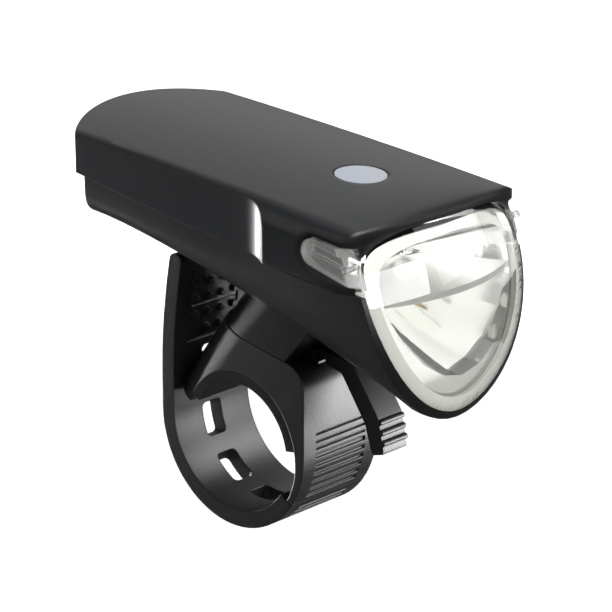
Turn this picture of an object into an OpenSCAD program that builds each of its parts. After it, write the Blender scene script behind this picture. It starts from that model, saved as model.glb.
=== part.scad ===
// Battery bicycle headlight on a strap clamp for the handlebar.
// Millimetres. +X is forward (the beam), +Y is the rider's left, +Z is up.
// The origin is the centre of the handlebar, in the middle of the clamp.

/* [Handlebar clamp] */
// Diameter of the handlebar that the saddle fits
bar_d = 25.4; // [22.2:0.1:26]
// Radial clearance between bar and saddle
bar_clear = 0.1; // [0:0.05:0.3]
// Thickness of the rubber saddle pad
pad_t = 2.2; // [1.5:0.1:2.6]
// Width of the clamp along the bar
band_w = 20.4; // [16:0.2:26]
// Thickness of the strap
band_t = 3.3; // [2.6:0.1:4]
// Inner radius of the strap loop
loop_r = 16.2; // [16.2:0.1:18]
// Height of the strap's tail above the bar centre
tail_top = 35; // [30:0.5:37]
// Number of hook windows in the strap
window_n = 4; // [2:1:4]
// Size of a hook window along the bar
window_w = 5; // [4:0.2:7]
// Length of a hook window along the strap
window_l = 7; // [6:0.2:8]
// Depth of the grip grooves
groove_d = 0.5; // [0.3:0.1:0.8]
// Pitch of the thumb pimples
pimple_pitch = 3.4; // [3:0.1:4]
// Diameter of a thumb pimple
pimple_d = 1.8; // [1.4:0.1:2.2]

/* [Light body] */
// Half width of the side scoops, from the middle plane
scoop_y = 21.1; // [20.8:0.1:21.6]
// Half width of the body at its shoulders
body_y = 23.2; // [22.6:0.1:24]
// Radius of the shoulders
shoulder_r = 4.5; // [4.2:0.1:4.8]
// Radius of the crown across the top
crown_r = 130; // [125:1:140]
// Radius of the top along the light
top_r = 1650; // [1550:10:1750]
// Height of the top crease at the rear corners
top_z = 58; // [57.8:0.1:58.4]
// Height of the crown above the crease
crown_h = 2; // [1.9:0.1:2.2]
// Wall of the upper shell
wall = 2; // [1.8:0.1:2.2]
// Wall of the lower shell
tub_wall = 2.4; // [2.2:0.1:2.6]
// Half width of the lower shell at its rear
tub_y = 20.6; // [20:0.1:21]
// Half width of the lower shell at its front
chin_y = 21.6; // [21.4:0.1:21.8]
// Height of the lower shell's floor at its rear
belly_z = 41.2; // [41:0.1:41.5]
// Rear end of the body on the middle plane
rear_x = -42; // [-43:0.1:-41]
// Front of the brow on the middle plane
brow_x = 44.6; // [44.3:0.1:44.9]
// Lowest point of the lower shell at its front
chin_z = 16; // [15.6:0.1:16.4]
// Height of the seam between the shells at the rear
seam_z = 50.4; // [50.2:0.1:50.6]
// Fall of the seam for each millimetre forward, at the rear
seam_fall = 0.142; // [0.138:0.001:0.146]

/* [Lens and button] */
// Thickness of the lens
lens_t = 2; // [1.5:0.1:2.5]
// Diameter of the power button
button_d = 9.8; // [8:0.1:11]
// Distance of the power button in front of the bar centre
button_x = 22.1; // [18:0.1:24]
// Travel of the power button
button_travel = 0.6; // [0.4:0.05:0.7]

/* [Hidden] */
$fn = 64;
eps = 0.01;
fit = 0.2;

// Clamp
saddle_r = bar_d / 2 + bar_clear;
seat_r = saddle_r + pad_t;
loop_ro = loop_r + band_t;
loop_off = loop_r - saddle_r - 0.22;
loop_x = -loop_off * sin(43.7);
loop_z = loop_off * cos(43.7);
front_x = loop_x + loop_ro;
groove_a = -2;
groove_pitch = 5.4;
hinge_k = 6;
hinge_a = groove_a - hinge_k * groove_pitch;
hinge_r = 0.6;
hinge_x = loop_x + (loop_ro - hinge_r) * cos(hinge_a);
hinge_z = loop_z + (loop_ro - hinge_r) * sin(hinge_a);
tail_z = 8;
tail_r = 125;
tail_x = loop_x - loop_ro + tail_r;
tail_mid = tail_r - band_t / 2;
tail_a = asin((tail_top - band_t / 2 - tail_z) / tail_mid);
window_z = 10.5;
window_pitch = 38;
window_first = 195;
hook_z = 11.15;
hook_h = 2.3;
rail_x = -4.3;
rail_z = 23;
rail_l = 16.7;
rail_tilt = 9.3;
post_x = -14;
rail_end_x = rail_x + rail_l * cos(rail_tilt);
rail_end_z = rail_z - rail_l * sin(rail_tilt);

// Release lever
lever_w = 6.5;
lever_s = 19.6;
lever_h = 1;
lever_r = 1;
lever_x = rail_x + lever_s * cos(rail_tilt) + lever_h * sin(rail_tilt);
lever_z = rail_z - lever_s * sin(rail_tilt) + lever_h * cos(rail_tilt);

// Upper shell
corner_x = -33.3;
rear_bow = corner_x - rear_x;
rear_r = (scoop_y * scoop_y + rear_bow * rear_bow) / (2 * rear_bow);
brow_r = 57;
roll_x = 41.6;
roll_r = 40;
roll_a = 14;
brow_corner = 6.2;
scoop_x = 13;
scoop_r = 11;
arc_x = -91;
arc_z = top_z - sqrt(pow(top_r, 2) - pow(corner_x - arc_x, 2));
function crease(x) = arc_z + sqrt(pow(top_r, 2) - pow(x - arc_x, 2));
seam_r = 830;
seam_a = atan(seam_fall);
seam_x = corner_x + seam_r * sin(seam_a);
seam_top = seam_z + seam_r * cos(seam_a);
seam_gap = 0.05;
function seam(x) = seam_top - sqrt(seam_r * seam_r - pow(x - seam_x, 2));
function rim(x) = seam(x) - seam_gap;

// Lower shell
tub_x0 = -31.5;
tub_x1 = 44.9;
tub_bow = 6;
tub_r = (tub_y * tub_y + tub_bow * tub_bow) / (2 * tub_bow);
tub_arc_x = tub_x0 - tub_bow + tub_r;
tub_xs = concat([for (d = [5.8, 5.2, 4.2, 3, 1.6]) tub_x0 - d], [for (k = [0:18]) tub_x0 + 4 * k],
  [tub_x1, 52]);
function unit(t) = min(1, max(0, t));
function ease(t) = let (c = unit(t)) c * c * (3 - 2 * c);
function tub_u(x) = unit((x - tub_x0) / (tub_x1 - tub_x0));
function tub_rise(x) = 3 * pow(unit((tub_x0 - x) / tub_bow), 2);
function tub_floor(x) = belly_z - (belly_z - chin_z) * pow(tub_u(x), 1.5) + tub_rise(x);
function tub_n(x) = 1.9 + 3.1 * pow(1 - tub_u(x), 1.5);
function tub_arc(x) = sqrt(max(0, tub_r * tub_r - pow(x - tub_arc_x, 2)));
function tub_half(x) = x < tub_x0 ? tub_arc(x) : tub_y + (chin_y - tub_y) * ease((x - 6) / 36);
function spow(v, p) = sign(v) * pow(abs(v), p);

// Lens
lens_side = 0.8;
lens_chin = 1.6;
lens_a = chin_y - lens_side;
lens_z = 44.3;
lens_up = 9.7;
lens_down = lens_z - chin_z - lens_chin;
lens_n = 72;
lens_apex = 50;
lens_r1 = 42.1;
lens_r2 = 42;
lens_mid = 32.5;
ear_y = 23;
ear_t = 3.2;
gasket_t = 0.6;
bowl_z = 38;
bowl_x = 25;
bowl_l = 18;
bowl_t = 1.2;
bowl_in = 2.4;
bowl_rise = 3.4;
bowl_n = 20;
flange_t = 1.2;
shelf_z = 40;
shelf_t = 1.2;
sink_x = 20.5;
sink_t = 2;
sink_y = 9;
sink_z = 33.5;
sink_h = 9.7;
fin_l = 5.5;
fin_t = 1.2;
fin_pitch = 4;
skirt_x = 37.5;
function lens_e(up) = up ? 3 : 1.8;
function lens_reach(up, rise) = up ? lens_up : lens_down - rise;
function lens_y(t, i) = (lens_a - i) * spow(cos(t), 2 / lens_e(sin(t) > 0));
function lens_h(t, i, rise) =
  lens_z + (lens_reach(sin(t) > 0, rise) - i) * spow(sin(t), 2 / lens_e(sin(t) > 0));
function lens_ring(x, s, i, c, rise, n) =
  [for (k = [0:n - 1]) let (t = -360 * k / n)
    [x, s * lens_y(t, i), c + s * (lens_h(t, i, rise) - c)]];

// Button and boards
button_tilt = asin((button_x - arc_x) / top_r);
button_z = crease(button_x) + crown_h;
button_h = 2.8;
lip_r = button_d / 2 + 0.9;
lip_drop = lip_r * lip_r / (2 * (crown_r - wall));
board_t = 1.2;
board_y = 11;
cell_x = -18;
cell_l = 38;
cell_z = 44.7;
cell_t = 6.5;
board_z = cell_z + cell_t + 0.1;
cell_y = 12;
pad_h = 0.8;
flap_x = rear_x + 0.4;
flap_z = 53;
flap_r = 0.6;
screw_xy = [[-26, 14.5], [-26, -14.5]];
screw_seat = 45;
screw_boss = 46.6;
post_rear = cell_x - 10;
post_front = cell_x + cell_l + 4.5;
post_xy = [[post_rear, 9], [post_rear, -9], [post_front, 9], [post_front, -9]];
shoe_y = band_w / 2 - 2.2;
shoe_xy = [[9, shoe_y], [9, -shoe_y]];

module xz(w) { rotate([90, 0, 0]) linear_extrude(w, center = true) children(); }
module yz(x, l) { translate([x, 0, 0]) rotate([90, 0, 90]) linear_extrude(l) children(); }
module box(x0, x1, y, z0, z1) { translate([x0, -y, z0]) cube([x1 - x0, 2 * y, z1 - z0]); }

// A closed skin over rings that have the same number of points
module loft(rings) {
  m = len(rings[0]);
  r = len(rings) - 1;
  pts = [for (g = rings) for (p = g) p];
  tri = [for (i = [0:r - 1]) for (k = [0:m - 1]) let (j = (k + 1) % m, a = i * m, b = a + m)
    each [[a + k, a + j, b + j], [a + k, b + j, b + k]]];
  polyhedron(pts, concat(tri, [[for (k = [0:m - 1]) m - 1 - k], [for (k = [0:m - 1]) r * m + k]]));
}

// Plan of the upper shell: bowed rear, bowed brow, and a scoop in each side
module plan(inset) {
  corner_y = body_y + 0.2 - brow_corner;
  corner_c = brow_x - brow_r + sqrt(brow_r * brow_r - corner_y * corner_y) - brow_corner + 0.1;
  difference() {
    intersection() {
      union() {
        translate([rear_x + rear_r, 0]) circle(rear_r - inset, $fn = 200);
        translate([rear_x + rear_r, -40]) square([100, 80]);
      }
      union() {
        translate([brow_x - brow_r, 0]) circle(brow_r, $fn = 200);
        translate([-60, -40]) square([60 + brow_x - brow_r, 80]);
      }
      square([200, 2 * body_y + 4], center = true);
    }
    for (s = [1, -1]) difference() {
      translate([corner_c, s > 0 ? corner_y : -corner_y - 20]) square(20);
      translate([corner_c, s * corner_y]) circle(brow_corner);
    }
    for (s = [1, -1]) {
      translate([scoop_x - 50, s * (scoop_y - inset) + (s > 0 ? 0 : -20)]) square([50, 20]);
      translate([scoop_x, s * (scoop_y - inset + scoop_r)]) circle(scoop_r, $fn = 96);
    }
  }
}

// Section of the upper shell: a crown that runs on into round shoulders
module section(inset) {
  sy = body_y - shoulder_r;
  sh = crown_h - crown_r + sqrt(pow(crown_r - shoulder_r, 2) - sy * sy) + 0.02;
  ty = sy * crown_r / (crown_r - shoulder_r);
  intersection() {
    translate([crown_h - crown_r, 0]) circle(crown_r - inset, $fn = 720);
    translate([-20, -ty]) square([30, 2 * ty]);
  }
  for (s = [1, -1]) translate([sh, s * sy]) circle(shoulder_r - inset);
  translate([-20, -body_y + inset]) square([20 + sh, 2 * (body_y - inset)]);
}

module top_form(inset) {
  translate([arc_x, 0, arc_z]) rotate([90, 0, 0]) rotate([0, 0, 84.6])
    rotate_extrude(angle = 5.4, $fn = 720) translate([top_r, 0]) section(inset);
}

// The cut that rolls the front of the top down to the lens, level across the crown
module brow_roll() {
  z0 = crease(roll_x) + crown_h - crown_r;
  translate([0, 0, z0]) rotate([0, 90, 0]) rotate([0, 0, 169]) rotate_extrude(angle = 22, $fn = 720)
    difference() {
      translate([crown_r - 4, roll_x - 3]) square([12, 12]);
      translate([crown_r - roll_r * cos(roll_a), roll_x - roll_r * sin(roll_a)]) circle(roll_r, $fn = 360);
    }
}

module above_seam() {
  translate([seam_x, 0, seam_top]) rotate([90, 0, 0]) cylinder(r = seam_r, h = 80, center = true, $fn = 720);
}

module ear2d(c) {
  translate([31.7, 49.5]) circle(2.5 + c);
  polygon([[31.7, 52 + c], [44, 50.9 + c], [44, 44.3 - c], [31.7, 47 - c]]);
}

// The dome of the lens: an arc upright, turned about an upright axis behind it
module lens_form(i) {
  translate([lens_apex - lens_r1, 0, lens_mid]) rotate_extrude($fn = 240) intersection() {
    translate([lens_r1 - lens_r2, 0]) circle(lens_r2 - i, $fn = 240);
    translate([0, -60]) square([100, 120]);
  }
}

module beyond_lens(i) {
  difference() {
    box(36, 60, 40, 0, 80);
    lens_form(i);
  }
}

module lens2d(i) { polygon([for (p = lens_ring(0, 1, i, lens_z, 0, lens_n)) [p[1], p[2]]]); }

module upper_shell() {
  color([0.37, 0.38, 0.38]) difference() {
    union() {
      difference() {
        intersection() {
          top_form(0);
          translate([0, 0, 30]) linear_extrude(40) plan(0);
          above_seam();
        }
        intersection() {
          top_form(wall);
          translate([0, 0, 30]) linear_extrude(40) plan(wall);
          box(-60, skirt_x + 0.5, scoop_y - wall, 30, 70);
        }
      }
      intersection() {
        top_form(wall / 2);
        union() {
          for (p = screw_xy) translate([p[0], p[1], screw_boss]) cylinder(r = 2.6, h = 20);
          for (p = post_xy) translate([p[0], p[1], board_z + board_t]) cylinder(r = 2.2, h = 10);
        }
      }
    }
    yz(skirt_x - fit, 20) lens2d(-fit);
    brow_roll();
    for (s = [0, 1]) mirror([0, s, 0]) translate([0, ear_y - ear_t - fit + 5, 0]) xz(10) ear2d(0.5);
    translate([button_x, 0, button_z]) rotate([0, button_tilt, 0]) translate([0, 0, -5])
      cylinder(d = button_d + 2 * fit, h = 10);
    box(-50, flap_x + flap_r + fit, 6.5, flap_z - 1, flap_z + 5.1);
    box(-50, flap_x + 5, 4.3, flap_z, flap_z + 2.8);
    for (p = screw_xy) translate([p[0], p[1], 30]) cylinder(d = 2.3, h = screw_seat - 30 + 10);
    for (p = post_xy) translate([p[0], p[1], 40]) cylinder(d = 2.1, h = 14.4);
  }
}

function tub_ring(x, i, lift) = let (w = tub_half(x) - i, d = rim(x) - tub_floor(x) - i, e = 2 / tub_n(x))
  concat(
    lift > 0 ? [[x, w, rim(x) + lift]] : [],
    [for (k = [0:24]) let (t = 7.5 * k) [x, w * spow(cos(t), e), rim(x) - d * spow(sin(t), e)]],
    lift > 0 ? [[x, -w, rim(x) + lift]] : []
  );

module tub(inset, lift) {
  if (lift > 0) loft([for (x = tub_xs) if (x > tub_x0 - 3.5) tub_ring(x, inset, lift)]);
  else loft([for (x = tub_xs) tub_ring(x, inset, lift)]);
}

module lower_shell() {
  color([0.1, 0.1, 0.1]) difference() {
    union() {
      difference() {
        tub(0, 0);
        tub(tub_wall, 5);
        beyond_lens(0);
        difference() {
          yz(36, 20) lens2d(-0.1);
          lens_form(lens_t + gasket_t);
        }
      }
      for (p = screw_xy) translate([p[0], p[1], screw_seat - 2.2])
        cylinder(r = 3, h = screw_boss - screw_seat + 2.2);
      for (p = shoe_xy) translate([p[0], p[1], 33]) cylinder(r = 2.8, h = 2);
      box(-14.8, -13.2, 11, 39.8, cell_z - pad_h);
      box(11.2, 12.8, 9, 31.8, cell_z - pad_h);
      box(17, 22, 5, 29, 33.5);
    }
    for (p = screw_xy) {
      translate([p[0], p[1], 30]) cylinder(d = 2.4, h = 30);
      translate([p[0], p[1], 20]) cylinder(d = 4.8, h = screw_seat - 20);
    }
    for (p = shoe_xy) translate([p[0], p[1], 25]) cylinder(d = 2.4, h = 20);
  }
}

module front_lens() {
  color([0.9, 0.92, 0.95, 0.4]) union() {
    difference() {
      intersection() {
        yz(36, 20) lens2d(0);
        lens_form(0);
      }
      lens_form(lens_t);
    }
    intersection() {
      yz(skirt_x, 10) difference() {
        lens2d(0);
        lens2d(1.8);
      }
      translate([0, 0, 0.4]) above_seam();
      lens_form(1);
    }
    intersection() {
      for (s = [0, 1]) mirror([0, s, 0]) difference() {
        translate([0, ear_y - ear_t / 2, 0]) xz(ear_t) ear2d(0);
        translate([0, ear_y, 0]) xz(1) {
          polygon([[32, 51.2], [39.3, 49.9], [39.3, 48.6], [32, 49.8]]);
          polygon([[32, 49.3], [39.3, 48.1], [39.3, 46.1], [32, 47.9]]);
        }
      }
      lens_form(0.2);
    }
    for (s = [1, -1]) translate([40.2, s * (ear_y + 0.3 - ear_t / 2), 48.2]) rotate([90, 0, 0])
      cylinder(d = 1.4, h = ear_t, center = true, $fn = 32);
  }
}

module lens_gasket() {
  color([0.05, 0.05, 0.05]) difference() {
    intersection() {
      yz(36, 20) difference() {
        lens2d(0);
        lens2d(3);
      }
      lens_form(lens_t);
    }
    lens_form(lens_t + gasket_t);
    translate([0, 0, 0.4]) above_seam();
  }
}

function bowl_s(t) = min(1, sqrt(0.176 + 0.824 * t));

module bowl(i, x0, x1) {
  loft([for (k = [0:14]) let (t = k / 10)
    lens_ring(x0 + t * (x1 - x0), bowl_s(t), i, bowl_z, bowl_rise, bowl_n)]);
}

module reflector() {
  seat = lens_t + gasket_t;
  color([0.85, 0.86, 0.88]) difference() {
    union() {
      bowl(bowl_in, bowl_x, bowl_x + bowl_l);
      intersection() {
        yz(30, 25) lens2d(bowl_in - fit);
        lens_form(seat);
        difference() {
          box(34, 60, 40, 0, 80);
          lens_form(seat + flange_t);
        }
      }
    }
    bowl(bowl_in + bowl_t, bowl_x + bowl_t, bowl_x + bowl_l + 0.2);
    beyond_lens(seat + 0.05);
    box(20, 30, 6 + fit, shelf_z - fit, shelf_z + shelf_t + fit);
  }
}

// Half width of the bowl's inside at a place on the shelf
function bowl_half(x, z, i) = let (s = bowl_s((x - bowl_x - bowl_t) / (bowl_l + 0.2 - bowl_t)),
  h = bowl_z + (z - bowl_z) / s, up = h > lens_z, e = lens_e(up),
  q = min(1, abs(h - lens_z) / (lens_reach(up, bowl_rise) - i)))
  s * (lens_a - i) * pow(1 - pow(q, e), 1 / e);

module led_shelf() {
  i = bowl_in + bowl_t + 0.5;
  h = concat([[22.5, 6], [28, 6]], [for (x = [29:1.5:47]) [x, bowl_half(x, shelf_z + shelf_t / 2, i)]]);
  n = len(h) - 1;
  color([0.75, 0.76, 0.78]) translate([0, 0, shelf_z]) linear_extrude(shelf_t) intersection() {
    polygon(concat(h, [for (k = [n:-1:0]) [h[k][0], -h[k][1]]]));
    translate([lens_apex - lens_r1, 0]) circle(lens_r1 - lens_t - 1.8, $fn = 240);
  }
}

module led_board() { color([0.9, 0.9, 0.88]) box(28.5, 36.5, 5, shelf_z - 1.1, shelf_z); }

module led_emitter() {
  color([0.95, 0.85, 0.35]) {
    box(30.8, 34.2, 1.7, shelf_z - 1.8, shelf_z - 1.1);
    intersection() {
      translate([32.5, 0, shelf_z - 1.6]) sphere(1.5, $fn = 32);
      box(30, 35, 3, shelf_z - 4, shelf_z - 1.6);
    }
  }
}

module heat_sink() {
  color([0.7, 0.7, 0.72]) {
    box(sink_x, sink_x + sink_t, sink_y, sink_z, sink_z + sink_h);
    for (k = [-2:2]) translate([sink_x - fin_l, fin_pitch * k - fin_t / 2, sink_z])
      cube([fin_l + 0.1, fin_t, sink_h]);
  }
}

module main_board() {
  color([0.1, 0.35, 0.2]) difference() {
    box(flap_x + 4.6, post_front + 3, board_y, board_z, board_z + board_t);
    for (p = post_xy) translate([p[0], p[1], 40]) cylinder(d = 2.2, h = 20);
  }
}

module tact_switch() {
  color([0.6, 0.6, 0.62]) translate([button_x, 0, board_z + board_t]) {
    translate([-3, -3, 0]) cube([6, 6, 0.7]);
    cylinder(d = 3.4, h = 1);
  }
}

module charge_indicator() {
  color([0.3, 0.8, 0.4]) translate([button_x - 5.4, -0.6, board_z + board_t]) cube([1.6, 1.2, 0.6]);
}

module charge_socket() {
  color([0.75, 0.76, 0.78]) difference() {
    box(flap_x + 2.2, flap_x + 7.6, 3.8, board_z + board_t, board_z + board_t + 2.8);
    box(flap_x, flap_x + 6.8, 3.4, board_z + board_t + 0.4, board_z + board_t + 2.4);
  }
}

module power_button() {
  color([0.86, 0.86, 0.93]) translate([button_x, 0, button_z]) rotate([0, button_tilt, 0]) {
    intersection() {
      translate([0, 0, -button_h]) cylinder(d = button_d, h = button_h + 1);
      translate([0, 0, 0.15 - 48]) sphere(48, $fn = 360);
    }
    translate([0, 0, -button_h]) cylinder(r = lip_r, h = button_h - wall - lip_drop - fit);
  }
}

module port_flap() {
  color([0.07, 0.07, 0.07]) {
    box(flap_x - flap_r, flap_x + flap_r, 6.2, flap_z, flap_z + 4.9);
    translate([flap_x, 0, flap_z]) rotate([90, 0, 0]) cylinder(r = flap_r, h = 12.4, center = true);
    box(flap_x, flap_x + flap_r + 0.8, 3.7, flap_z + 0.6, flap_z + 2);
  }
}

module battery_cell() {
  r = cell_t / 2;
  color([0.75, 0.76, 0.78]) {
    box(cell_x, cell_x + cell_l, cell_y - r, cell_z, cell_z + cell_t);
    for (s = [1, -1]) translate([cell_x, s * (cell_y - r), cell_z + r]) rotate([0, 90, 0])
      cylinder(r = r, h = cell_l);
  }
}

module battery_pad() { color([0.2, 0.2, 0.2]) box(-15.5, 17, 8, cell_z - pad_h, cell_z); }

module battery_leads() {
  color([0.7, 0.1, 0.1]) for (y = [3, -3]) translate([-20, y, 48]) {
    cylinder(d = 1, h = board_z - 48, $fn = 24);
    sphere(d = 1, $fn = 24);
    rotate([0, 90, 0]) cylinder(d = 1, h = 2, $fn = 24);
  }
}

module screw(d, head_d, head_h, l) {
  difference() {
    union() {
      cylinder(d = d, h = l, $fn = 32);
      translate([0, 0, -head_h]) cylinder(d = head_d, h = head_h, $fn = 32);
    }
    for (a = [0, 90]) rotate([0, 0, a]) translate([-head_d * 0.3, -0.3, -head_h - 1])
      cube([head_d * 0.6, 0.6, 1.7]);
  }
}

module casing_screws() {
  color([0.6, 0.6, 0.6]) for (p = screw_xy) translate([p[0], p[1], screw_seat]) screw(2.2, 4.2, 1.5, 9);
}

module board_screws() {
  color([0.6, 0.6, 0.6]) for (p = post_xy) translate([p[0], p[1], board_z]) screw(2, 3.6, 1.1, 2.7);
}

module shoe_screws() {
  color([0.6, 0.6, 0.6]) for (p = shoe_xy) translate([p[0], p[1], 35]) rotate([180, 0, 0])
    screw(2.2, 4.2, 1.5, 9);
}

// The rail's section, from its root on the clamp's top plane
module rail2d(c) {
  translate([-4.3 - c, -1]) square([8.6 + 2 * c, 3]);
  translate([-6.6 - c, 1.6 - c]) square([13.2 + 2 * c, 1.8 + 2 * c]);
}

module on_rail() { translate([rail_x, 0, rail_z]) rotate([0, rail_tilt, 0]) children(); }

// Plan with a half-round rear end
module half_round(xc) {
  y = band_w / 2 + 0.02;
  translate([xc, -y]) square([80, 2 * y]);
  translate([xc, 0]) circle(y, $fn = 96);
}

module mount_shoe() {
  lean = [10.7, 12.2];
  lean_a = atan(lean[0] / lean[1]);
  a = [post_x, rail_z + (rail_x - post_x) * tan(rail_tilt)];
  b = [rail_end_x, rail_end_z];
  color([0.1, 0.1, 0.1]) difference() {
    union() {
      intersection() {
        xz(band_w) polygon([a, b, b + lean, a + lean]);
        rotate([0, lean_a, 0]) linear_extrude(60) half_round(-12.8);
      }
      xz(5.4) polygon([[14, 22.6], [19.1, 22.6], [19.1, 25], [14, 25]]);
    }
    tub(0, 0);
    on_rail() translate([-30, -20, -5]) cube([60, 40, 5 + fit]);
    on_rail() yz(-20, rail_l + 18.7) rail2d(fit);
    on_rail() yz(10, 15) translate([-4.3 - fit, -1]) square([8.6 + 2 * fit, 3.4 + fit]);
    for (p = shoe_xy) translate([p[0], p[1], 25]) cylinder(d = 2.3, h = 20);
  }
}

module grooves(from, to) {
  translate([loop_x, 0, loop_z]) for (k = [from:to]) rotate([0, -groove_a + groove_pitch * k, 0])
    translate([loop_ro - groove_d, -6.8, -0.45]) cube([3, 13.6, 0.9]);
}

module arc2d(r0, r1, a0, a1, fn) {
  n = 6;
  intersection() {
    difference() {
      circle(r1, $fn = fn);
      circle(r0, $fn = fn);
    }
    polygon(concat([[0, 0]], [for (k = [0:n]) let (a = a0 + (a1 - a0) * k / n) 2 * r1 * [cos(a), sin(a)]]));
  }
}

module clamp_base() {
  slope_a = 36;
  strap_x = loop_x - loop_r + 0.35;
  color([0.1, 0.1, 0.1]) difference() {
    union() {
      intersection() {
        xz(band_w) {
            polygon([[post_x, rail_z + (rail_x - post_x) * tan(rail_tilt)], [rail_end_x, rail_end_z],
              [front_x - 5, 15.2], [front_x, 15.2], [front_x, loop_z], [0, loop_z],
              [strap_x, 6.3], [strap_x, 9.5], [strap_x + 2.5, 13.5]]);
            translate([front_x - 5, 15.2]) circle(5);
        }
        rotate([0, slope_a, 0]) translate([0, 0, -30]) linear_extrude(80) half_round(-11.8);
      }
      on_rail() yz(4.4, rail_l - 6) rail2d(0);
      on_rail() yz(15, 5) translate([-4.3, -1]) square([8.6, 3.4]);
      box(-19.2, -10.5, 2.1, hook_z - hook_h / 2, hook_z + hook_h / 2);
      translate([loop_x, 0, loop_z]) xz(band_w) arc2d(loop_r, loop_ro, hinge_a + 0.3, 1, 180);
    }
    rotate([90, 0, 0]) cylinder(r = seat_r, h = 2 * band_w, center = true, $fn = 180);
    grooves(0, hinge_k - 1);
    for (z = [6.1, 4.5, 3.1]) box(front_x - groove_d, front_x + 3, 6.8, z - 0.2, z + 0.2);
    translate([hinge_x, 0, hinge_z]) rotate([90, 0, 0]) cylinder(r = hinge_r + fit, h = 60, center = true);
    translate([lever_x, 0, lever_z]) rotate([90, 0, 0])
      cylinder(r = lever_r + 0.05, h = 2 * band_w, center = true);
  }
}

module saddle_pad() {
  color([0.06, 0.06, 0.06]) xz(band_w) arc2d(saddle_r, seat_r, 10.5, 150, 180);
}

module window(l) {
  r = 1;
  for (s = [0, 2 * r]) translate([0, 0, 0]) cube([12, window_w - s, l - 2 * r + s], center = true);
  for (y = [1, -1]) for (z = [1, -1]) translate([0, y * (window_w / 2 - r), z * (l / 2 - r)])
    rotate([0, 90, 0]) cylinder(r = r, h = 12, center = true, $fn = 24);
}

module on_tail(h, y) {
  translate([tail_x, y, tail_z]) rotate([0, asin(h / tail_r), 0])
    translate([-tail_r + band_t - 0.3, 0, 0]) children();
}

module tail_line(a0, a1) {
  translate([tail_x, tail_z]) arc2d(tail_r - band_t - 2, tail_r - band_t + 0.4, 180 - a0, 180 - a1, 720);
}

module clamp_strap() {
  color([0.09, 0.09, 0.09]) difference() {
    union() {
      xz(band_w) {
        translate([loop_x, loop_z]) arc2d(loop_r, loop_ro, 180, 360 + hinge_a - 0.3, 180);
        translate([loop_x - loop_ro, loop_z]) square([band_t, tail_z - loop_z]);
        translate([tail_x, tail_z]) arc2d(tail_r - band_t, tail_r, 180, 180 - tail_a, 720);
        translate([tail_x - tail_mid * cos(tail_a), tail_z + tail_mid * sin(tail_a)]) circle(band_t / 2);
      }
      translate([hinge_x, 0, hinge_z]) rotate([90, 0, 0]) cylinder(r = hinge_r, h = band_w, center = true);
      for (j = [0:3]) for (k = [-1.5:1.5]) if (j > 0 || abs(k) < 1)
        on_tail(10.2 + j * pimple_pitch, k * pimple_pitch) rotate([0, 90, 0])
          cylinder(d1 = pimple_d, d2 = pimple_d * 0.7, h = 1.3, $fn = 24);
      on_tail(15.4, 0) translate([0.3, 0, 0]) rotate([90, 0, 0])
        cylinder(r = 0.25, h = 12, center = true, $fn = 24);
    }
    for (y = [6.4, -6.4]) translate([0, y, 0]) xz(0.5) tail_line(3.6, 10.9);
    xz(12.8) tail_line(3.6, 3.85);
    grooves(hinge_k + 1, hinge_k + 4);
    translate([loop_x - loop_r, 0, window_z]) window(window_l);
    for (k = [0:window_n - 2]) translate([loop_x, 0, loop_z])
      rotate([0, -window_first - k * window_pitch, 0]) translate([loop_r, 0, 0]) window(window_l);
  }
}

module release_lever() {
  color([0.09, 0.09, 0.09]) {
    translate([lever_x, 0, lever_z]) rotate([90, 0, 0]) cylinder(r = lever_r, h = lever_w, center = true);
    xz(lever_w) {
      translate([lever_x, lever_z - 0.65]) square([3, 1.3]);
      polygon([[16.3, 19.4], [20.5, 18.4], [26.6, 9.9], [28.3, 4.6], [29, 4.2], [31.2, 4.9], [31.3, 5.6],
        [29.9, 11.9], [23.4, 20.6], [20, 21.5], [16.3, 21.8]]);
    }
    xz(lever_w - 1) polygon([[19.5, 20], [22, 20], [22, 21.4], [20.4, 23.4], [19.5, 23.4]]);
    for (k = [0:2]) translate([30.2 + 0.44 * k, 0, 11 - 2 * k]) rotate([90, 0, 0])
      cylinder(r = 0.55, h = lever_w, center = true, $fn = 32);
  }
}

upper_shell();
lower_shell();
front_lens();
lens_gasket();
reflector();
led_shelf();
led_board();
led_emitter();
heat_sink();
main_board();
tact_switch();
charge_indicator();
charge_socket();
power_button();
port_flap();
battery_cell();
battery_pad();
battery_leads();
casing_screws();
board_screws();
shoe_screws();
mount_shoe();
clamp_base();
saddle_pad();
clamp_strap();
release_lever();
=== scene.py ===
# %% [markdown]
# # A bike headlight on its strap clamp
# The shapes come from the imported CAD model, which is loaded as a fixed frame in metres.
# This lesson gives every piece its finish, rounds its edges for the eye, and sets up
# the camera and the studio. Sizes below are in millimetres and are turned to metres once.

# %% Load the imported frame
import math

import bpy
from mathutils import Matrix, Vector


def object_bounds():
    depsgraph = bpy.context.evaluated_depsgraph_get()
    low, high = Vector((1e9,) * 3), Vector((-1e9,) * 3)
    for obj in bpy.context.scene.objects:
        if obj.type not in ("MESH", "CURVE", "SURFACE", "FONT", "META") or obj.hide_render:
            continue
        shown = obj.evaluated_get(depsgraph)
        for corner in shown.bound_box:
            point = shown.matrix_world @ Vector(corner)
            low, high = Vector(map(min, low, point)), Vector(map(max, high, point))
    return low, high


MM = 0.001
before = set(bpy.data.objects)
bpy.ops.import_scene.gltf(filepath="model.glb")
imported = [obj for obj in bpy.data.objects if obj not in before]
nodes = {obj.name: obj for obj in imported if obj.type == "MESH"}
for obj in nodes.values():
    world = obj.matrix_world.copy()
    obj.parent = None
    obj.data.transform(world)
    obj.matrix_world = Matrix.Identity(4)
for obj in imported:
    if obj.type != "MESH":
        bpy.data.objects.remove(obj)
cad_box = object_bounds()
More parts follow.
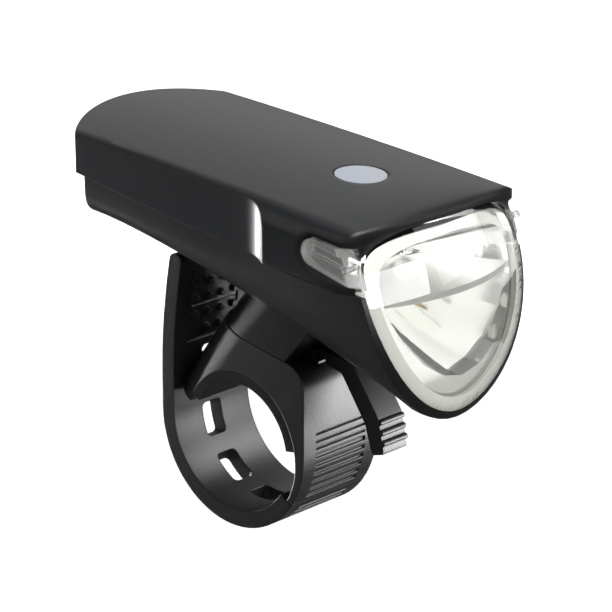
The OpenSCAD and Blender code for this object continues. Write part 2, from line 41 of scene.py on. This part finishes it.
print(f"{len(nodes)} CAD nodes, box {[round(s / MM, 1) for s in cad_box[1] - cad_box[0]]} mm")

# %% [markdown]
# ## Smooth skins
# A CAD mesh arrives as flat triangles with their corners split. Joining the corners with
# a Weld modifier, shading smooth, and splitting again where two faces meet at a real
# edge gives round skins that keep crisp edges, without touching the mesh itself. The bowl
# is made of flat facets on purpose, so its edges split at a much smaller angle.

# %% Smooth every node
EDGE_ANGLE = math.radians(28)
FACET_ANGLE = math.radians(9)
WELD_MM = 0.002


def smooth_skin(piece, edge_angle):
    piece.data.shade_smooth()
    weld = piece.modifiers.new("join split corners", "WELD")
    weld.merge_threshold = WELD_MM * MM
    split = piece.modifiers.new("keep real edges", "EDGE_SPLIT")
    split.split_angle = edge_angle


for name, node in nodes.items():
    smooth_skin(node, FACET_ANGLE if name == "reflector" else EDGE_ANGLE)
print(f"smoothed {len(nodes)} nodes")

# %% [markdown]
# ## Tools for materials
# Colours are written as sRGB hex, as a colour picker shows them, and shaders want linear
# light, so one function converts. A second small function adds a shader node, sets its
# values and links its inputs in one line.

# %% Colour and node helpers
def linear(hex_colour):
    channels = [int(hex_colour[k:k + 2], 16) / 255 for k in (1, 3, 5)]
    return [c / 12.92 if c <= 0.04045 else ((c + 0.055) / 1.055) ** 2.4 for c in channels] + [1.0]


def add(tree, kind, settings=None, links=None):
    node = tree.nodes.new(kind)
    for name, value in (settings or {}).items():
        if name in node.inputs:
            node.inputs[name].default_value = value
        else:
            setattr(node, name, value)
    for name, source in (links or {}).items():
        tree.links.new(source, node.inputs[name])
    return node


print("mid grey #808080 in linear light:", round(linear("#808080")[0], 3))


# %% Materials from settings and links
def material(name, settings, links=None):
    made = bpy.data.materials.new(name)
    made.use_nodes = True
    tree = made.node_tree
    tree.nodes.clear()
    shader = add(tree, "ShaderNodeBsdfPrincipled", settings)
    add(tree, "ShaderNodeOutputMaterial", links={"Surface": shader.outputs["BSDF"]})
    for socket, source in (links(tree) if links else {}).items():
        tree.links.new(source, shader.inputs[socket])
    return made


def dress(made, *names):
    for name in names:
        nodes[name].data.materials.clear()
        nodes[name].data.materials.append(made)
    print(f"{made.name}: {', '.join(names)}")


# %% [markdown]
# ## Moulded plastics
# The shells are injection-moulded ABS and the clamp is moulded nylon. The tools are
# spark-eroded, so the skins have a fine grain that turns highlights soft. A grain could be
# modelled, but it is far too small for that, so a noise pattern bumps the normals.
# No moulded edge is truly sharp, so a Bevel node rounds the normals by a few tenths of a
# millimetre, and a thin line of light runs along each edge. On the cover that rounding
# grows towards the brow, as the photograph shows.

# %% Grained plastic
GRAIN_MM = 0.25
EDGE_MM = 0.35
BROW_EDGE_MM = 3.0
BROW_START_MM = 15
BROW_END_MM = 40


def grained(depth_mm, grain_mm=GRAIN_MM, edge_mm=EDGE_MM, front_edge_mm=EDGE_MM):
    def links(tree):
        place = add(tree, "ShaderNodeTexCoord")
        noise = add(tree, "ShaderNodeTexNoise", {"Scale": 1 / (grain_mm * MM), "Detail": 2.0},
                    {"Vector": place.outputs["Object"]})
        point = add(tree, "ShaderNodeSeparateXYZ", links={"Vector": place.outputs["Object"]})
        radius = add(tree, "ShaderNodeMapRange", {
            "From Min": BROW_START_MM * MM, "From Max": BROW_END_MM * MM,
            "To Min": edge_mm * MM, "To Max": front_edge_mm * MM}, {"Value": point.outputs["X"]})
        edge = add(tree, "ShaderNodeBevel", {"samples": 8}, {"Radius": radius.outputs["Result"]})
        bump = add(tree, "ShaderNodeBump", {"Strength": 0.5, "Distance": depth_mm * MM},
                   {"Height": noise.outputs["Fac"], "Normal": edge.outputs["Normal"]})
        return {"Normal": bump.outputs["Normal"]}
    return links


# %% Shells, clamp and rubber
NYLON_GRAIN_MM = 0.5
RUBBER_EDGE_MM = 0.2

# Soft-touch paint over ABS: dull and slightly velvety, so the lit top turns mid grey.
soft_touch = material("soft-touch grey ABS", {
    "Base Color": linear("#1a1b1d"), "Roughness": 0.34, "Specular IOR Level": 0.5},
    grained(depth_mm=0.01, front_edge_mm=BROW_EDGE_MM))
# Black ABS as moulded: satin, and its fine grain takes the edge off every reflection.
black_abs = material("black satin ABS", {
    "Base Color": linear("#0f0f0f"), "Roughness": 0.34, "Specular IOR Level": 0.4},
    grained(depth_mm=0.012))
# Glass-filled nylon: rougher than the shells, so it greys under a light. Its real grain is
# too fine to show in the picture, so it is drawn twice as coarse as that of the shells.
clamp_nylon = material("black grained nylon", {
    "Base Color": linear("#111111"), "Roughness": 0.43, "Specular IOR Level": 0.5},
    grained(depth_mm=0.08, grain_mm=NYLON_GRAIN_MM))
# Moulded rubber: matt and nearly black, with tighter edges than the plastics.
rubber = material("black moulded rubber", {
    "Base Color": linear("#0c0c0c"), "Roughness": 0.7, "Specular IOR Level": 0.4},
    grained(depth_mm=0.01, edge_mm=RUBBER_EDGE_MM, front_edge_mm=RUBBER_EDGE_MM))

dress(soft_touch, "upper_shell")
dress(black_abs, "lower_shell", "mount_shoe")
dress(clamp_nylon, "clamp_base", "clamp_strap", "release_lever")
dress(rubber, "saddle_pad", "port_flap")

# %% [markdown]
# ## Masks by place and facing
# Some mouldings have two finishes: the bowl is bright inside and satin on its flange, and
# the lens is polished in front and textured in its side ears. Each could be cut into two
# meshes, but a mask keeps the piece whole. It is worked out from where a point lies on the
# piece and which way its face looks, and it fades over a few tenths of a millimetre.

# %% Masks for front faces and ears
FADE_MM = 0.2
FACES_FRONT = (0.55, 0.65)
EAR_SIDE_MM = (20.2, 20.5)
EAR_FRONT_MM = (42.4, 43)
EAR_CLARITY = 0.8
EAR_FROST = 0.25


def place_parts(tree, output):
    place = add(tree, "ShaderNodeTexCoord")
    return add(tree, "ShaderNodeSeparateXYZ", links={"Vector": place.outputs[output]})


def remap(tree, value, low, high, settings=None, links=None):
    return add(tree, "ShaderNodeMapRange", {"From Min": low, "From Max": high, **(settings or {})},
               {"Value": value, **(links or {})}).outputs["Result"]


def front_face(tree, from_mm):
    point, normal = [place_parts(tree, name).outputs["X"] for name in ("Object", "Normal")]
    ahead = remap(tree, point, (from_mm - FADE_MM) * MM, from_mm * MM)
    return remap(tree, normal, *FACES_FRONT, {"To Min": 0.0}, {"To Max": ahead})


def satin_front(from_mm, bright, satin, smooth, rough):
    def links(tree):
        mask = front_face(tree, from_mm)
        ramp = add(tree, "ShaderNodeValToRGB", links={"Fac": mask})
        ramp.color_ramp.elements[0].color = linear(bright)
        ramp.color_ramp.elements[1].color = linear(satin)
        return {"Base Color": ramp.outputs["Color"],
                "Roughness": remap(tree, mask, 0.0, 1.0, {"To Min": smooth, "To Max": rough})}
    return links


def frosted_ears(tree):
    point = place_parts(tree, "Object")
    across = add(tree, "ShaderNodeMath", {"operation": "ABSOLUTE"}, {"Value": point.outputs["Y"]})
    side_from, side_to = [edge * MM for edge in EAR_SIDE_MM]
    front_from, front_to = [edge * MM for edge in EAR_FRONT_MM]
    side = remap(tree, across.outputs["Value"], side_from, side_to)
    ear = remap(tree, point.outputs["X"], front_from, front_to, {"To Max": 0.0}, {"To Min": side})
    return {"Transmission Weight": remap(tree, ear, 0.0, 1.0, {"To Min": 1.0, "To Max": EAR_CLARITY}),
            "Roughness": remap(tree, ear, 0.0, 1.0, {"To Min": 0.0, "To Max": EAR_FROST})}


print(f"ears: past {EAR_SIDE_MM[0]} mm from the middle and behind {EAR_FRONT_MM[1]} mm")

# %% [markdown]
# ## Optics
# The lens is polished clear polycarbonate, so the shader lets all light through and bends
# it by the index of that plastic. The bowl behind it is ABS with a vacuum-deposited
# aluminium film, which mirrors the white studio. Between them a silicone seal shows as a
# pale ring. The button is a milky light pipe, so light soaks into it a little.

# %% Lens, seal, bowl and button
BOWL_FLANGE_MM = 40

# Polished clear polycarbonate, with ears that are textured inside and look pale.
clear_lens = material("clear polycarbonate", {
    "Base Color": linear("#f4f5f2"), "IOR": 1.585}, frosted_ears)
# Bright metallised facets, and a satin flange behind the rim of the lens.
bright_bowl = material("vacuum-metallised bowl", {"Metallic": 1.0}, satin_front(
    BOWL_FLANGE_MM, bright="#f6f6f6", satin="#c4c4c2", smooth=0.08, rough=0.2))
# Clear silicone, milky where it is pressed: a pale ring behind the rim of the lens.
silicone = material("pale silicone", {
    "Base Color": linear("#dcdcd6"), "Roughness": 0.35, "IOR": 1.41})
# Moulded milky polycarbonate: a cool pale grey that glows a little at its edge.
milky_button = material("milky polycarbonate", {
    "Base Color": linear("#afb4bf"), "Roughness": 0.3, "IOR": 1.585,
    "Subsurface Weight": 0.3, "Subsurface Radius": (2 * MM, 2 * MM, 2 * MM)})
dress(clear_lens, "front_lens")
dress(silicone, "lens_gasket")
dress(bright_bowl, "reflector")
dress(milky_button, "power_button")

# %% [markdown]
# ## Around the light source
# The shelf, the LED board and the emitter are seen in the bowl and mirrored by its facets.
# A dull white plate would look grey there, because the shelf shades it. The real ones are
# glossy, so half of each finish is made metallic, and it passes on the white of the bowl.

# %% Shelf, board and emitter
# White-coated plate: bright on both sides, with a grey cut edge in front.
shelf_plate = material("white-coated plate with a cut edge", {"Metallic": 0.5}, satin_front(
    0, bright="#f8f8f6", satin="#9a9a98", smooth=0.2, rough=0.5))
# Glossy white solder mask on an aluminium core: nearly as bright as the bowl around it.
white_board = material("glossy white solder mask", {
    "Base Color": linear("#f4f4f0"), "Metallic": 0.5, "Roughness": 0.2})
# Phosphor in clear silicone: a soft, pale yellow patch.
phosphor = material("phosphor silicone", {
    "Base Color": linear("#efdc9a"), "Roughness": 0.25,
    "Subsurface Weight": 0.3, "Subsurface Radius": (MM, MM, MM)})
dress(shelf_plate, "led_shelf")
dress(white_board, "led_board")
dress(phosphor, "led_emitter")

# %% [markdown]
# ## The insides
# These pieces are hidden in use, but they are seen when the part is taken apart, so each
# one has the finish of the real thing. Plain shader settings are enough for them.

# %% Boards, cell and metal pieces
# Extruded aluminium, left bare: a pale satin grey.
bare_aluminium = material("satin aluminium", {
    "Base Color": linear("#c9cacb"), "Metallic": 1.0, "Roughness": 0.35})
# Nickel-plated steel: a brighter and smoother grey than the aluminium.
plated_steel = material("nickel-plated steel", {
    "Base Color": linear("#b9b9bb"), "Metallic": 1.0, "Roughness": 0.28})
# Screen-printed solder mask over glass fibre: very dark green, with a dull shine.
green_board = material("dark green solder mask", {
    "Base Color": linear("#0c1a11"), "Roughness": 0.45})
# Cast clear-green resin: a bright, glossy dot.
indicator = material("green indicator resin", {
    "Base Color": linear("#8fdc9a"), "Roughness": 0.2})
# Rolled aluminium foil of the cell's pouch: pale and a little dull.
cell_foil = material("aluminium pouch foil", {
    "Base Color": linear("#cfd1d4"), "Metallic": 1.0, "Roughness": 0.4})
# Cut open-cell foam: dark and without any shine.
foam = material("dark open-cell foam", {
    "Base Color": linear("#303030"), "Roughness": 0.95})
# Extruded silicone of the leads: a soft satin red.
lead_red = material("red silicone lead", {
    "Base Color": linear("#b32020"), "Roughness": 0.45})
dress(bare_aluminium, "heat_sink")
dress(plated_steel, "tact_switch", "charge_socket", "casing_screws", "board_screws", "shoe_screws")
dress(green_board, "main_board")
dress(indicator, "charge_indicator")
dress(cell_foil, "battery_cell")
dress(foam, "battery_pad")
dress(lead_red, "battery_leads")

# %% [markdown]
# ## White room
# A cut-out product photograph has a white ground and hardly any shadow. A bright world
# would give that too, but every black piece would mirror it and turn grey. So the floor
# lies well below the part and stays out of its reflections, and the walls and the ceiling
# are seen by the camera alone.

# %% Floor, walls and ceiling
FLOOR_DROP_MM = 900
ROOM_MM = 4000
WHITE_GLOW = 1.0


def stage_plane(name, corner_mm, across_mm, along_mm, glow, seen_by):
    corner, across, along = [Vector(v) * MM for v in (corner_mm, across_mm, along_mm)]
    mesh = bpy.data.meshes.new(name)
    corners = [corner, corner + across, corner + across + along, corner + along]
    mesh.from_pydata(corners, [], [(0, 1, 2, 3)])
    mesh.materials.append(material(f"white {name}", {
        "Base Color": linear("#ffffff"), "Roughness": 0.9,
        "Emission Color": linear("#ffffff"), "Emission Strength": glow}))
    plane = bpy.data.objects.new(name, mesh)
    bpy.context.collection.objects.link(plane)
    for ray in ("camera", "diffuse", "glossy", "transmission", "shadow"):
        setattr(plane, f"visible_{ray}", ray in seen_by)
    print(f"{name}: glow {glow}, seen by {', '.join(seen_by)} rays")


floor_z = cad_box[0].z / MM - FLOOR_DROP_MM
half = ROOM_MM / 2
room_x, room_y, room_z = (ROOM_MM, 0, 0), (0, ROOM_MM, 0), (0, 0, ROOM_MM)
stage_plane("floor", (-half, -half, floor_z), room_x, room_y, WHITE_GLOW,
            ("camera", "diffuse", "transmission", "shadow"))
stage_plane("ceiling", (-half, -half, floor_z + ROOM_MM), room_x, room_y, WHITE_GLOW, ("camera",))
for name, x, y, across in (("front wall", half, -half, room_y), ("rear wall", -half, -half, room_y),
                           ("near wall", -half, -half, room_x), ("far wall", -half, half, room_x)):
    stage_plane(name, (x, y, floor_z), across, room_z, WHITE_GLOW, ("camera",))

# %% [markdown]
# ## Cards for the bowl
# A mirror shows only what stands around it, so a photographer sets white cards in front of
# a bright bowl. Here four cards are seen only by rays that have passed through clear
# plastic: they fill the bowl with white and leave the black shells alone.

# %% White cards
CARD_AHEAD_MM = 400
CARD_DEEP_MM = 2000
CARD_WIDE_MM = 3000
CARD_FOOT_MM = -280
CARD_TALL_MM = 1300
CARD_SPLIT_MM = -100

edge = CARD_WIDE_MM / 2
up_card, back_card = (0, 0, CARD_TALL_MM), (-CARD_DEEP_MM, 0, 0)
head = CARD_FOOT_MM + CARD_TALL_MM
for name, y, z, across, along, glow in (
        ("near front card", -edge, CARD_FOOT_MM, (0, CARD_SPLIT_MM + edge, 0), up_card, 2.0),
        ("far front card", CARD_SPLIT_MM, CARD_FOOT_MM, (0, edge - CARD_SPLIT_MM, 0), up_card, 1.5),
        ("far card", edge, CARD_FOOT_MM, back_card, up_card, 1.4),
        ("top card", -edge, head, back_card, (0, CARD_WIDE_MM, 0), 1.0)):
    stage_plane(name, (CARD_AHEAD_MM, y, z), across, along, glow, ("transmission",))

# %% [markdown]
# ## Lights
# Satin black shows light mostly as reflections, so each light stands where the camera's
# ray goes after it bounces off one region. A light above and four dim panels grey the top,
# from whichever side it is seen. A light low behind draws the streak in the side scoop, and
# one in front wakes the lens. Light linking keeps that one off the cover and the button,
# which would mirror it white from behind, and lets two others reach only the clamp.

# %% Soft lights
centre = (cad_box[0] + cad_box[1]) / 2


def soft_light(name, place_mm, size_mm, watts, lit_names=()):
    lamp = bpy.data.lights.new(name, "AREA")
    lamp.shape = "RECTANGLE"
    lamp.size, lamp.size_y = [s * MM for s in size_mm]
    lamp.energy = watts
    holder = bpy.data.objects.new(name, lamp)
    bpy.context.collection.objects.link(holder)
    holder.location = Vector(place_mm) * MM
    holder.visible_camera = False
    holder.rotation_euler = (centre - holder.location).to_track_quat("-Z", "Y").to_euler()
    if lit_names:
        lit = bpy.data.collections.new(f"lit by {name}")
        for lit_name in lit_names:
            lit.objects.link(nodes[lit_name])
        holder.light_linking.receiver_collection = lit
    print(f"{name}: {watts} W at {[round(v) for v in place_mm]} mm")


# %% Lights that shape the whole part
PANEL_RADIUS_MM = 615
PANEL_HEIGHT_MM = 330
PANEL_WATTS = {45: 1.2, 135: 0.46, 225: 0.46, 315: 0.46}

soft_light("overhead softbox", place_mm=(0, 60, 650), size_mm=(300, 300), watts=3)
soft_light("rear softbox", place_mm=(-590, -45, -180), size_mm=(80, 160), watts=1.85)
for bearing, watts in PANEL_WATTS.items():
    turn = math.radians(bearing)
    place_mm = (PANEL_RADIUS_MM * math.cos(turn), PANEL_RADIUS_MM * math.sin(turn), PANEL_HEIGHT_MM)
    soft_light(f"wall panel {bearing}", place_mm, size_mm=(500, 520), watts=watts)

# %% Lights for some pieces only
below_cover = [name for name in nodes if name not in ("upper_shell", "power_button")]
strap_pieces = ["clamp_strap", "saddle_pad"]
clamp_pieces = ["clamp_base", "release_lever", *strap_pieces]
soft_light("front softbox", place_mm=(600, -20, 165), size_mm=(450, 175), watts=2.2,
           lit_names=below_cover)
soft_light("strap softbox", place_mm=(300, 430, 370), size_mm=(400, 300), watts=3.4,
           lit_names=strap_pieces)
soft_light("clamp softbox", place_mm=(56, 38, -1), size_mm=(38, 30), watts=0.068,
           lit_names=clamp_pieces)

# %% Fill light from the room
ROOM_FILL = 0.12

world = bpy.data.worlds.new("studio")
world.use_nodes = True
background = world.node_tree.nodes["Background"]
background.inputs["Color"].default_value = linear("#ffffff")
background.inputs["Strength"].default_value = ROOM_FILL
bpy.context.scene.world = world
bpy.context.scene.view_settings.view_transform = "Standard"
print(f"{world.name}: white fill of strength {ROOM_FILL}")

# %% [markdown]
# ## Camera
# The photograph was taken from the light's right front, a little above it. The azimuth is
# measured from the -Y side towards the front, and a long lens keeps the form calm.

# %% Camera at the photograph's place
AZIMUTH = math.radians(44.3)
ELEVATION = math.radians(19.3)
DISTANCE_MM = 550
AIM_MM = (-2.02, 10.27, 22.92)
SENSOR_MM = 36
FOCAL_MM = 165.16

back = Vector((math.sin(AZIMUTH) * math.cos(ELEVATION),
               -math.cos(AZIMUTH) * math.cos(ELEVATION),
               math.sin(ELEVATION)))
right = Vector((math.cos(AZIMUTH), math.sin(AZIMUTH), 0))
up = back.cross(right)
lens = bpy.data.cameras.new("camera")
lens.sensor_width = SENSOR_MM
lens.lens = FOCAL_MM
camera = bpy.data.objects.new("camera", lens)
bpy.context.collection.objects.link(camera)
stand = Matrix.Translation((Vector(AIM_MM) + back * DISTANCE_MM) * MM)
camera.matrix_world = stand @ Matrix((right, up, back)).transposed().to_4x4()
bpy.context.scene.camera = camera
print("camera at", [round(v, 4) for v in camera.matrix_world.translation])
